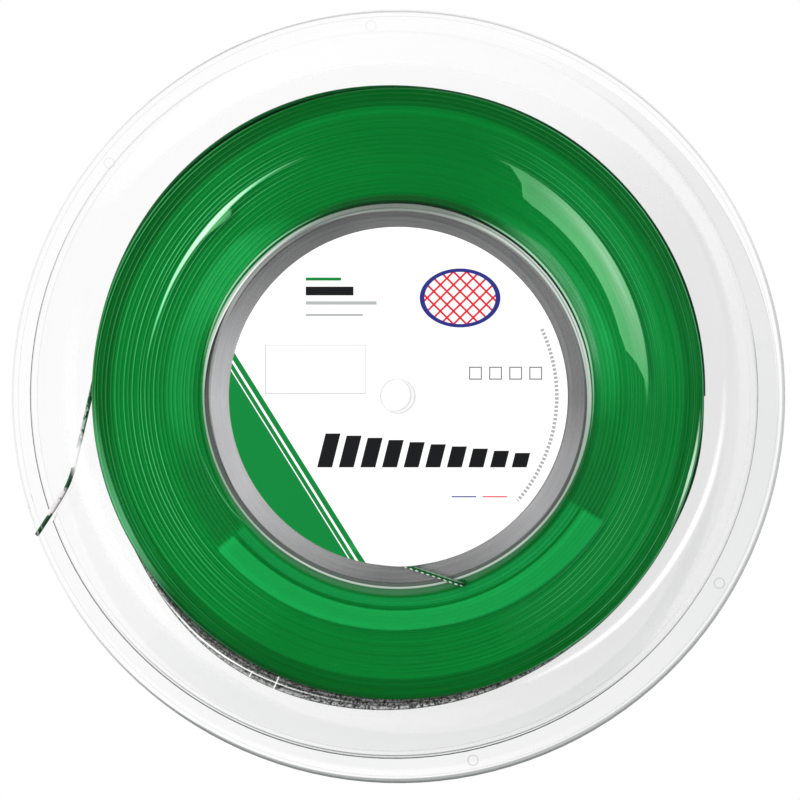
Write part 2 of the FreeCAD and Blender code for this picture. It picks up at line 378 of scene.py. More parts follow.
@dataclass(frozen=True)
class GlarePatch:
    """A stretch of the outer end flecked with painted reflections, from one y to another in millimetres,
    its shade and its share.
    """

    low: float
    high: float
    shade: str
    share: float


@dataclass(frozen=True)
class Monofilament:
    """Smooth green string, deeper or brighter from turn to turn, with painted bands of light and shade and
    a painted highlight line along each turn.

    Each painted highlight line along the tucked end is a line of pale beads: its distance from the end's
    middle line in millimetres, its shade, and how far the gaps between the beads are left bare.
    """

    name: str
    deep: str = "00581a"
    bright: str = "00913a"
    # Colour of the painted highlight line along each turn
    shine: str = "66d892"
    bands: tuple[Arc, ...] = ()
    glare_patches: tuple[GlarePatch, ...] = ()
    glint_lines: tuple[tuple[float, str, float], ...] = ()

    def build(self) -> bpy.types.Material:
        """Returns: the material. The tone attribute runs from 0, deep, to 1, bright."""
        graph = Graph(self.name)
        place = graph.place()
        x, y, _, radius, angle = graph.polar()
        tone = graph.attribute("tone")
        drift = graph.noise(place, 30.0, 2.0)
        grain = graph.noise(place, 900.0, 2.0)
        share = (tone + (drift - 0.5) * 0.25).clamped()
        base = graph.blend(share, colour(self.deep), colour(self.bright))
        # Painted bands of light and shade
        for band in self.bands:
            base = graph.blend(band.mask(radius, angle), base, colour(band.shade))
        # Painted highlight line along each turn, where the glint attribute is set
        base = graph.blend((graph.attribute("glint") ** 2.0).clamped(), base, colour(self.shine))
        rough = 0.3 + grain * 0.08
        patches = graph.noise(place, 800.0, 3.0, 0.6)
        # Painted reflections in patches on stretches of the outer end, a little rougher there
        for glare_patch in self.glare_patches:
            edge = 0.68 - 0.4 * glare_patch.share
            glare = y.between(glare_patch.low, glare_patch.high, 0.5) * patches.step(edge, edge + 0.08)
            base = graph.blend(glare, base, colour(glare_patch.shade))
            rough = rough + glare * 0.2
        square = 1.0 / math.hypot(1.0, TUCK_SLOPE)
        # Painted highlight lines of pale beads along the tucked end
        for offset, shade, share in self.glint_lines:
            away = abs((y - TUCK_START - x * TUCK_SLOPE) * square - offset)
            beads = 1.0 - share * (x / 1.45).left_over(1.0).step(0.4, 0.6)
            base = graph.blend((1.0 - away.step(0.10, 0.30)) * beads * 0.85, base, colour(shade))
        return graph.finish(graph.solid(base, rough, 0.07, graph.bump(grain, 0.1, 0.00003)))


@dataclass(frozen=True)
class SlackString:
    """Deep green string, with arcs of painted shade, grainy and specked, on the side that faces up and
    inwards.
    """

    name: str
    deep: str = "053a16"
    bright: str = "0b5a28"
    arcs: tuple[Arc, ...] = ()

    def build(self) -> bpy.types.Material:
        """Returns: the material. The upper attribute is 1 on the side that faces up and inwards."""
        graph = Graph(self.name)
        grain = graph.noise(graph.place(), 400.0, 2.0)
        base = graph.blend(grain, colour(self.deep), colour(self.bright))
        upper = graph.attribute("upper")
        _, _, _, radius, angle = graph.polar()
        for arc in self.arcs:
            base = graph.blend(arc.mask(radius, angle) * upper, base, colour(arc.shade))
        return graph.finish(graph.solid(base, 0.35 + grain * 0.1, 0.1))


@dataclass(frozen=True)
class PrintedPaper:
    """Coated white paper with a plain printed design, drawn in millimetres from the reel's axis."""

    name: str
    paper: str = "fbfbfa"
    green: str = "007e35"
    black: str = "17181a"
    navy: str = "2a2d80"
    red: str = "dd1430"
    grey: str = "a9acad"
    slate: str = "7d8082"
    edge: float = 0.06

    def box(self, u: Socket, v: Socket, centre: tuple[float, float], half: tuple[float, float]) -> Socket:
        """A filled rectangle. Args: place, centre and half sizes. Returns: its mask."""
        across = 1.0 - abs(u - centre[0]).step(half[0] - self.edge, half[0] + self.edge)
        along = 1.0 - abs(v - centre[1]).step(half[1] - self.edge, half[1] + self.edge)
        return across * along

    def build(self) -> bpy.types.Material:
        """Returns: the material."""
        graph = Graph(self.name)
        x, y, _, reach, angle = graph.polar()
        fibre = graph.noise(graph.place(), 1500.0, 3.0)
        base = graph.blend(fibre * 0.06, colour(self.paper), colour("e9e9e6"))

        # Green segment at the lower left, with two thin white stripes along its chord
        slope = math.radians(212.0)
        out = x * math.cos(slope) + y * math.sin(slope)
        segment = out.step(30.0 - self.edge, 30.0 + self.edge)
        stripes = out.between(31.4, 31.9, self.edge) + out.between(33.0, 33.2, self.edge)
        base = graph.blend(segment * (1.0 - stripes), base, colour(self.green))

        # String bed: crossing lines inside an oval, at the upper right
        u = x - 16.0
        v = y - 25.5
        oval = (u / 10.4) ** 2.0 + (v / 7.6) ** 2.0
        inside = 1.0 - oval.step(0.80, 0.84)
        rim = oval.between(0.80, 1.0, 0.03)
        first = ((u + v) / 3.4).left_over(1.0)
        second = ((u - v) / 3.4).left_over(1.0)
        mesh = 1.0 - abs(first - 0.5).step(0.09, 0.13).at_most(abs(second - 0.5).step(0.09, 0.13))
        base = graph.blend(inside * mesh, base, colour(self.red))
        base = graph.blend(rim, base, colour(self.navy))

        # A row of slanted bars below the hole, shorter towards the right
        lean = x - (y + 14.0) * 0.25
        for number in range(10):
            half_height = 4.4 - 0.28 * number
            bar = self.box(lean, y, (-18.0 + 5.6 * number, -18.4 + half_height), (1.95, half_height))
            base = graph.blend(bar, base, colour(self.black))

        # Fine lines at the upper left, an empty frame at the left, and dashes at the lower right
        for row, (shade, half_width, half_height) in enumerate(
            ((self.green, 4.6, 0.4), (self.black, 6.2, 1.15), (self.grey, 9.2, 0.45), (self.grey, 7.4, 0.3))
        ):
            line = self.box(x, y, (-24.0 + half_width, 30.4 - 3.1 * row), (half_width, half_height))
            base = graph.blend(line, base, colour(shade))
        middle = (-21.5, 7.0)
        frame = self.box(x, y, middle, (13.0, 6.4)) * (1.0 - self.box(x, y, middle, (12.8, 6.2)))
        base = graph.blend(frame, base, colour(self.grey))
        for row, shade in enumerate((self.navy, self.red)):
            dash = self.box(x, y, (17.0 + 8.0 * row, -26.0), (3.2, 0.16))
            base = graph.blend(dash, base, colour(shade))
        for number in range(4):
            middle = (20.0 + 5.2 * number, 6.0)
            square = self.box(x, y, middle, (1.7, 1.7)) * (1.0 - self.box(x, y, middle, (1.35, 1.35)))
            base = graph.blend(square, base, colour(self.slate))

        # Fine grey dashes round the right edge
        dashes = reach.between(40.6, 41.5, 0.08) * (1.0 - abs(angle + 8.0).step(33.0, 33.4))
        dashes = dashes * (1.0 - abs((angle / 1.5).left_over(1.0) - 0.5).step(0.28, 0.36))
        base = graph.blend(dashes * 0.75, base, colour(self.slate))

        normal = graph.bump(fibre, 0.1, 0.00005)
        return graph.finish(graph.solid(base, 0.5 + fibre * 0.1, 0.15, normal))


class Closing(Enum):
    """How a grid of points is joined into a surface."""

    OPEN = "open"
    TUBE = "tube"
    TORUS = "torus"


def grid_mesh(name: str, grids: Sequence[np.ndarray], closing: Closing) -> bpy.types.Mesh:
    """A mesh of quads over grids of points.

    Args:
        name: the mesh's name.
        grids: each rows by columns by 3. Columns run round a section, rows along it.
        closing: TUBE joins the last column to the first and puts a face on both ends, TORUS joins
            the last row to the first instead.
    Returns:
        the mesh, smooth shaded.
    """
    faces: list[list[int]] = []
    base = 0
    for grid in grids:
        rows, columns = grid.shape[:2]
        index = base + np.arange(rows * columns).reshape(rows, columns)
        ends = [index[0, ::-1].tolist(), index[-1].tolist()] if closing is Closing.TUBE else []
        if closing is not Closing.OPEN:
            index = np.concatenate([index, index[:, :1]], axis=1)
        if closing is Closing.TORUS:
            index = np.concatenate([index, index[:1]], axis=0)
        quads = np.stack([index[:-1, :-1], index[:-1, 1:], index[1:, 1:], index[1:, :-1]], axis=-1)
        faces += quads.reshape(-1, 4).tolist() + ends
        base += rows * columns
    mesh = bpy.data.meshes.new(name)
    mesh.from_pydata(np.concatenate([grid.reshape(-1, 3) for grid in grids]).tolist(), [], faces)
    mesh.polygons.foreach_set("use_smooth", np.ones(len(mesh.polygons), bool))
    mesh.update()
    return mesh


def keep_number(mesh: bpy.types.Mesh, name: str, values: np.ndarray) -> None:
    """Keeps one number for each vertex under a name."""
    layer = mesh.attributes.new(name, "FLOAT", "POINT")
    layer.data.foreach_set("value", values.astype(np.float32).ravel())


def tube_points(path: np.ndarray, radius: float, sides: int) -> np.ndarray:
    """A round tube about a path.

    The section at each point is the path's point plus radius times (cosine of u times the side
    direction, plus sine of u times the upper direction), where side is level and square to the path.

    Args:
        path: points by 3.
        radius: the tube's radius.
        sides: points round the section.
    Returns:
        points by sides by 3.
    """
    along = np.gradient(path, axis=0)
    along /= np.linalg.norm(along, axis=1, keepdims=True)
    side = np.cross(along, np.array([0.0, 0.0, 1.0]))
    side /= np.linalg.norm(side, axis=1, keepdims=True)
    upper = np.cross(side, along)
    u = (np.arange(sides) * TURN / sides)[None, :, None]
    return path[:, None] + radius * (np.cos(u) * side[:, None] + np.sin(u) * upper[:, None])


def add_piece(name: str, mesh: bpy.types.Mesh, material: bpy.types.Material) -> bpy.types.Object:
    """Puts a mesh in the scene as a piece of the reel, with its finish."""
    piece = bpy.data.objects.new(name, mesh)
    bpy.context.scene.collection.objects.link(piece)
    mesh.materials.append(material)
    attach(piece, "root")
    LOG.info("piece %s: %d faces", name, len(mesh.polygons))
    return piece


def lobe(degrees: np.ndarray, middle: float, half: float | np.ndarray) -> np.ndarray:
    """The cosine of a quarter turn per half, from 1 at the middle angle down to 0 at half and beyond."""
    away = np.abs(np.mod(degrees - middle + 180.0, 360.0) - 180.0) / half
    return np.cos(np.clip(away, 0.0, 1.0) * math.pi / 2)


def rise(value: np.ndarray) -> np.ndarray:
    """A smooth rise from 0 to 1 as the value goes from 0 to 1."""
    kept = np.clip(value, 0.0, 1.0)
    return kept * kept * (3 - 2 * kept)


@dataclass
class Winding:
    """The wound string: layers that run to and fro between the flanges, each over the last."""

    hub_radius: float = 50.4 * MM
    outer_radius: float = 79.75 * MM
    low: float = 3.25 * MM
    high: float = 26.92 * MM
    string_radius: float = 0.6 * MM
    layers: int = 26
    turns_per_layer: int = 17
    dwell: float = 1.9
    end_angle: float = 145.87
    end_radius: float = 78.91 * MM
    points_per_turn: int = 216
    offset_y: float = 0.7 * MM
    waver: float = 0.09 * MM
    groove: float = 0.10 * MM
    seed: int = 7
    waves: list[tuple[float, float, float]] = field(default_factory=list)

    def __post_init__(self) -> None:
        """Draws the waver's waves: turns per wave, phase and share."""
        draw = np.random.default_rng(self.seed)
        lengths = (0.41, 0.73, 1.31, 2.17, 3.37)
        self.waves = [
            (length, draw.uniform(0, TURN), 1.0 / (1 + place)) for place, length in enumerate(lengths)
        ]

    @property
    def period(self) -> float:
        """Turns from the start of one layer to the start of the next."""
        return self.turns_per_layer + self.dwell

    @property
    def whole(self) -> float:
        """Turns of the whole string, to where its outer end leaves the winding."""
        return self.layers * self.period - self.dwell

    def depth(self, radius: np.ndarray) -> np.ndarray:
        """How far out a radius lies: 0 at the hub, 1 at the outside."""
        return (radius - self.hub_radius) / (self.outer_radius - self.hub_radius)

    def route(self, turn: np.ndarray) -> np.ndarray:
        """The string's middle line.

        The height is a triangle wave with flat tops: at each flange the string lies still for the
        dwell and climbs to the next layer in the middle of it. The radius wavers by a sum of sines.

        Args:
            turn: turns counted from the first layer's start.
        Returns:
            points by 3.
        """
        number = np.floor(turn / self.period)
        run = turn - number * self.period
        travel = np.clip(run / self.turns_per_layer, 0.0, 1.0)
        climbed = rise((run - self.turns_per_layer - 0.38 * self.dwell) / (0.24 * self.dwell))
        share = np.where(np.mod(number, 2) < 0.5, travel, 1.0 - travel)
        bottom = self.low + self.string_radius
        top = self.high - self.string_radius
        pitch = (self.outer_radius - self.hub_radius - 2 * self.string_radius) / (self.layers - 1)
        radius = self.hub_radius + self.string_radius + pitch * (number + climbed)
        total = sum(part for _, _, part in self.waves)
        wave = sum(part * np.sin(TURN * turn / length + start) for length, start, part in self.waves)
        radius = radius + self.waver * wave / total
        ending = rise((turn - self.whole + 0.6) / 0.6)
        radius = radius * (1 - ending) + self.end_radius * ending
        angle = TURN * (turn - self.whole) + math.radians(self.end_angle)
        shift = self.offset_y * self.depth(radius) * (1 - ending)
        height = bottom + (top - bottom) * share
        return np.stack([radius * np.cos(angle), radius * np.sin(angle) + shift, height], axis=-1)

    def tone(self, turn: np.ndarray, path: np.ndarray) -> np.ndarray:
        """Each point's tone: it differs a little from turn to turn, and the outermost are deeper."""
        outermost = self.outermost(path[:, 0], path[:, 1])
        return 0.45 + 0.05 * np.sin(TURN * turn / 2.7) + 0.04 * np.sin(TURN * turn / 7.3) - outermost

    @staticmethod
    def outermost(x: np.ndarray, y: np.ndarray) -> np.ndarray:
        """How much deeper the tone is in the outermost turns."""
        return 0.40 * rise((np.hypot(x, y - 0.9 * MM) - 74.1 * MM) / (1.0 * MM))

    def face_turns(
        self, name: str, top: bool, sides: int, material: bpy.types.Material
    ) -> bpy.types.Object:
        """The turns that show at one flange, with a little of the string on its way there and back."""
        reach = 0.5
        tubes = []
        tones = []
        glints = []
        for layer in range(0 if top else -1, self.layers, 2):
            start = max((layer + 1) * self.period - self.dwell - reach, 0.0)
            end = min((layer + 1) * self.period + reach, self.whole)
            if end <= start:
                continue
            turn = np.linspace(start, end, int((end - start) * self.points_per_turn))
            path = self.route(turn)
            tubes.append(tube_points(path, self.string_radius, sides))
            tones.append(np.repeat(self.tone(turn, path), sides))
            glints.append(self.glint(turn, path, sides).ravel())
        return self.joined(name, tubes, {"tone": tones, "glint": glints}, material)

    def glint(self, turn: np.ndarray, path: np.ndarray, sides: int) -> np.ndarray:
        """Painted highlight along one line of each turn, by GLINT_LOBES. It differs from turn to turn by
        two sines.
        """
        degrees = np.degrees(np.arctan2(path[:, 1], path[:, 0]))
        radius = np.hypot(path[:, 0], path[:, 1]) / MM
        strength = np.zeros_like(turn)
        for middle, half, peak, start in GLINT_LOBES:
            strength += peak * lobe(degrees, middle, half) * rise((radius - start) / 2.0)
        strength *= 0.8 + 0.6 * np.sin(TURN * turn / 5.3) + 0.5 * np.sin(TURN * turn / 1.9)
        shine = np.zeros((len(turn), sides))
        shine[:, sides // 6] = np.sqrt(np.clip(strength, 0.0, 1.0))
        return shine

    def outer_layer(self, name: str, sides: int, material: bpy.types.Material) -> bpy.types.Object:
        """The outer layer as one unbroken tube, to where the outer end leaves it."""
        start = (self.layers - 1) * self.period + 0.4
        turn = np.linspace(start, self.whole, int((self.whole - start) * self.points_per_turn))
        path = self.route(turn)
        tones = [np.repeat(self.tone(turn, path), sides)]
        return self.joined(name, [tube_points(path, self.string_radius, sides)], {"tone": tones}, material)

    def slack_turns(self, name: str, sides: int, material: bpy.types.Material) -> bpy.types.Object:
        """Loose turns just under the front face, which stand out from the winding at the lower left.

        The radius is that of the winding plus low bumps and one tall crescent, whose left side is
        steeper and which each turn follows a little less, plus a fine sine.
        """
        count = 5
        turn = np.linspace(0.0, count, count * self.points_per_turn)
        angle = TURN * turn
        degrees = np.mod(angle * 360.0 / TURN + 180.0, 360.0) - 180.0
        radius = 79.5 * MM + self.offset_y * np.sin(angle)
        for middle, half, height in SLACK_BUMPS:
            radius += height * MM * lobe(degrees, middle, half) ** 2
        crescent = lobe(degrees, -117.0, np.where(degrees < -117.0, 33.0, 62.0)) ** 1.2
        radius += (4.3 - 0.85 * turn) * MM * crescent + 0.05 * MM * np.sin(TURN * turn / 0.13)
        height = 25.15 * MM - 1.22 * MM * turn
        path = np.stack([radius * np.cos(angle), radius * np.sin(angle), height], axis=-1)
        # Where the painted shade goes: the side of each turn that faces up and inwards
        upper = rise((np.cos(np.arange(sides) * TURN / sides - math.radians(135.0)) + 0.34) / 0.76)
        numbers = {"upper": [np.tile(upper, len(path))]}
        return self.joined(name, [tube_points(path, self.string_radius, sides)], numbers, material)

    @staticmethod
    def joined(
        name: str,
        tubes: list[np.ndarray],
        numbers: dict[str, list[np.ndarray]],
        material: bpy.types.Material,
    ) -> bpy.types.Object:
        """One piece of several closed tubes, with the named numbers of their vertices."""
        mesh = grid_mesh(name, tubes, Closing.TUBE)
        for key, values in numbers.items():
            keep_number(mesh, key, np.concatenate(values))
        return add_piece(name, mesh, material)

    def core(self, name: str, material: bpy.types.Material) -> bpy.types.Object:
        """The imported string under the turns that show: a ring with a plain section."""
        inner = self.hub_radius + 0.1 * MM
        outer = self.outer_radius - 1.5 * self.string_radius
        bottom = self.low + self.groove
        top = self.high - self.groove
        across = np.linspace(inner, outer, 60)
        profile = np.concatenate([
            np.stack([across, np.full_like(across, bottom)], axis=-1),
            np.stack([across[::-1], np.full_like(across, top)], axis=-1),
        ])
        angle = np.arange(240) * TURN / 240
        radius = profile[None, :, 0]
        x = radius * np.cos(angle)[:, None]
        y = radius * np.sin(angle)[:, None] + self.offset_y * self.depth(radius)
        z = np.broadcast_to(profile[None, :, 1], x.shape)
        mesh = grid_mesh(name, [np.stack([x, y, z], axis=-1)], Closing.TORUS)
        mesh.polygons.foreach_set("use_smooth", np.zeros(len(mesh.polygons), bool))
        keep_number(mesh, "tone", 0.45 - self.outermost(x, y))
        return add_piece(name, mesh, material)


@dataclass
class StringEnds:
    """The two loose ends: one tucked under the label, one held in the rear rim's slot."""

    diameter: float = 1.2 * MM
    inner_route: tuple[tuple[float, float, float], ...] = (
        (16.848, -48.931, 26.22),
        (16.848, -48.931, 29.22),
        (11.37, -46.83, 29.22),
        (0.25, -43.35, 29.22),
        (-10.85, -39.60, 29.22),
    )
    outer_route: tuple[tuple[float, float, float], ...] = (
        (-65.319, 44.272, 3.85),
        (-77.250, 27.234, 3.85),
        (-82.50, 3.00, 3.85),
        (-85.50, -10.00, 3.85),
        (-87.30, -17.50, 3.85),
        (-88.57, -22.56, 3.85),
        (-90.46, -26.80, 3.80),
        (-94.50, -33.00, 3.00),
        (-98.30, -38.60, 2.25),
    )
    inner_length: float = 31.6 * MM
    outer_length: float = 90.4 * MM

    def cord(
        self, name: str, route: Sequence[tuple[float, float, float]], material: bpy.types.Material
    ) -> bpy.types.Object:
        """A round string along a smooth curve with the route's points as its control points."""
        curve = bpy.data.curves.new(name, "CURVE")
        curve.dimensions = "3D"
        curve.bevel_depth = self.diameter / 2
        curve.bevel_resolution = 3
        curve.resolution_u = 16
        curve.use_fill_caps = True
        spline = curve.splines.new("NURBS")
        spline.points.add(len(route) - 1)
        for point, (x, y, z) in zip(spline.points, route):
            point.co = (x * MM, y * MM, z * MM, 1.0)
        spline.order_u = 3
        spline.use_endpoint_u = True
        piece = bpy.data.objects.new(name, curve)
        bpy.context.scene.collection.objects.link(piece)
        curve.materials.append(material)
        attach(piece, "root")
        return piece

    def build(self, tucked: bpy.types.Material, glared: bpy.types.Material) -> None:
        inner = self.cord("inner_end", self.inner_route, tucked)
        outer = self.cord("outer_end", self.outer_route, glared)
        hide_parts("string_inner_end")
        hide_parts("string_outer_end")


@dataclass
class Label:
    """The round paper label, lifted over the tucked end of the string."""

    radius: float = 43.9 * MM
    hole_radius: float = 4.75 * MM
    thickness: float = 0.25 * MM
    lift: float = 1.28 * MM
    tip: tuple[float, float] = (-10.85 * MM, -39.60 * MM)
    edge: tuple[float, float] = (0.25 * MM, -43.35 * MM)
    crest: float = 0.45 * MM
    foot: float = 2.4 * MM
    rings: int = 72
    spokes: int = 320

    def build(self, material: bpy.types.Material) -> None:
        """Makes the sheet as one closed surface: its top outwards, then its underside inwards."""
        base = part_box("label")[0].z
        radius = np.linspace(self.hole_radius, self.radius, self.rings)
        angle = np.arange(self.spokes) * TURN / self.spokes
        x = radius[None, :] * np.cos(angle)[:, None]
        y = radius[None, :] * np.sin(angle)[:, None]
        lifted = base + self.raised(x, y)
        upper = np.stack([x, y, lifted + self.thickness], axis=-1)
        lower = np.stack([x, y, lifted], axis=-1)[:, ::-1]
        points = np.concatenate([upper, lower], axis=1)[:, ::-1]
        mesh = grid_mesh("paper_label", [points], Closing.TORUS)
        mesh.set_sharp_from_angle(angle=math.radians(40.0))
        piece = add_piece("paper_label", mesh, material)
        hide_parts("label")

    def raised(self, x: np.ndarray, y: np.ndarray) -> np.ndarray:
        """The sheet's lift: full within the crest of the tucked string's line, none past the foot."""
        tip = np.array(self.tip)
        way = np.array(self.edge) - tip
        length = np.linalg.norm(way)
        way /= length
        along = np.clip((x - tip[0]) * way[0] + (y - tip[1]) * way[1], 0.0, 2 * length)
        away = np.hypot(x - tip[0] - along * way[0], y - tip[1] - along * way[1])
        return self.lift * rise((self.foot - away) / (self.foot - self.crest))


@dataclass
class Studio:
    """The pale floor, the lamps and the camera."""

    floor_size: float = 6.0
    camera_x: float = -19.0 * MM
    camera_y: float = 7.7 * MM
    camera_z: float = 457.8 * MM
    focal_pixels: float = 1655.6
    middle_x: float = 324.97
    middle_y: float = 366.66
    lamp_power: float = 5.6
    sky: float = 0.55

    def camera(self) -> None:
        """Looks straight down, with the shift that puts the point below it at the middle pixel."""
        data = bpy.data.cameras.new("camera")
        data.sensor_width = SENSOR_WIDTH
        data.lens = self.focal_pixels / IMAGE_SIZE * SENSOR_WIDTH
        data.shift_x = 0.5 - self.middle_x / IMAGE_SIZE
        data.shift_y = self.middle_y / IMAGE_SIZE - 0.5
        data.clip_start = 0.01
        data.clip_end = 20.0
        camera = bpy.data.objects.new("camera", data)
        camera.location = (self.camera_x, self.camera_y, self.camera_z)
        bpy.context.scene.collection.objects.link(camera)
        bpy.context.scene.camera = camera

    def floor(self) -> None:
        """A white floor that the camera sees as white, and that keeps the reel's shadow."""
        ends = (-self.floor_size / 2, self.floor_size / 2)
        corners = np.array([[(x, y, 0.0) for x in ends] for y in ends])
        mesh = grid_mesh("floor", [corners], Closing.OPEN)
        floor = bpy.data.objects.new("floor", mesh)
        bpy.context.scene.collection.objects.link(floor)
        mesh.materials.append(self.floor_finish())

    @staticmethod
    def floor_finish() -> bpy.types.Material:
        """Matt white that glows for the camera, but for the deep shade inside the hub."""
        graph = Graph("floor_white")
        _, _, _, radius, _ = graph.polar()
        # Painted light: the floor glows fully under the spindle hole, where the hub would shade it, so the
        # hole reads white
        hole = 1.0 - radius.step(6.5, 8.0)
        shaded = (1.0 - hole) * (1.0 - radius.step(52.0, 60.0))
        share = 0.94 - shaded * 0.90 + (hole + radius.step(92.0, 104.0)) * 0.06
        matt = graph.node("ShaderNodeBsdfDiffuse", inputs={"Color": (0.8, 0.8, 0.8, 1.0)})
        seen = graph.ray("Is Camera Ray").at_least(graph.ray("Is Glossy Ray"))
        seen = seen.at_least(graph.ray("Is Transmission Ray"))
        glow = graph.node("ShaderNodeEmission", inputs={"Color": WHITE, "Strength": 1.0})
        return graph.finish(graph.node("ShaderNodeMixShader", inputs={0: seen * share, 1: matt, 2: glow}))

    def lamp(
        self, name: str, size: tuple[float, float], power: float, place: tuple[float, float, float]
    ) -> None:
        """A soft rectangular lamp that points at the reel."""
        data = bpy.data.lights.new(name, "AREA")
        data.shape = "RECTANGLE"
        data.size, data.size_y = size
        data.energy = power
        lamp = bpy.data.objects.new(name, data)
        lamp.location = place
        lamp.rotation_euler = (-Vector(place)).to_track_quat("-Z", "Y").to_euler()
        bpy.context.scene.collection.objects.link(lamp)

    def lights(self) -> None:
        """A row of soft boxes round the left side, and a pale sky that no gloss mirrors."""
        for number, azimuth in enumerate((133.0, 167.0, 201.0)):
            around = math.radians(azimuth)
            place = (0.95 * math.cos(around), 0.95 * math.sin(around), 0.80)
            self.lamp(f"softbox_{number + 1}", (0.56, 0.26), self.lamp_power, place)
        sky = Graph("sky", world=True)
        strength = sky.ray("Is Camera Ray").at_least(self.sky - sky.ray("Is Glossy Ray") * (0.9 * self.sky))
        pale = sky.node("ShaderNodeBackground", inputs={"Color": WHITE, "Strength": strength})
        bpy.context.scene.world = sky.finish(pale)

    def build(self) -> None:
        """Sets the whole scene round the reel."""
        scene = bpy.context.scene
        scene.view_settings.view_transform = "Standard"
        self.camera()
        self.floor()
        self.lights()


# Painted highlight lines on the turns: middle and half angle in degrees, peak, and the radius in
# millimetres where it starts
GLINT_LOBES = (
    (160, 55, 0.2, 61), (15, 55, 0.32, 50), (38, 34, 0.42, 66), (-38, 30, 0.75, 61), (-36, 24, 0.55, 71),
    (-150, 32, 0.3, 61), (10, 95, 0.5, 74.3), (142, 30, 0.3, 56.5),
)

# Bumps of the slack turns: middle and half angle in degrees, and height in millimetres
SLACK_BUMPS = (
    (122, 46, 1.25), (60, 75, 0.4), (-14, 15, 0.5), (-55, 16, 0.2), (-30, 110, 0.32), (24, 26, 0.15),
)

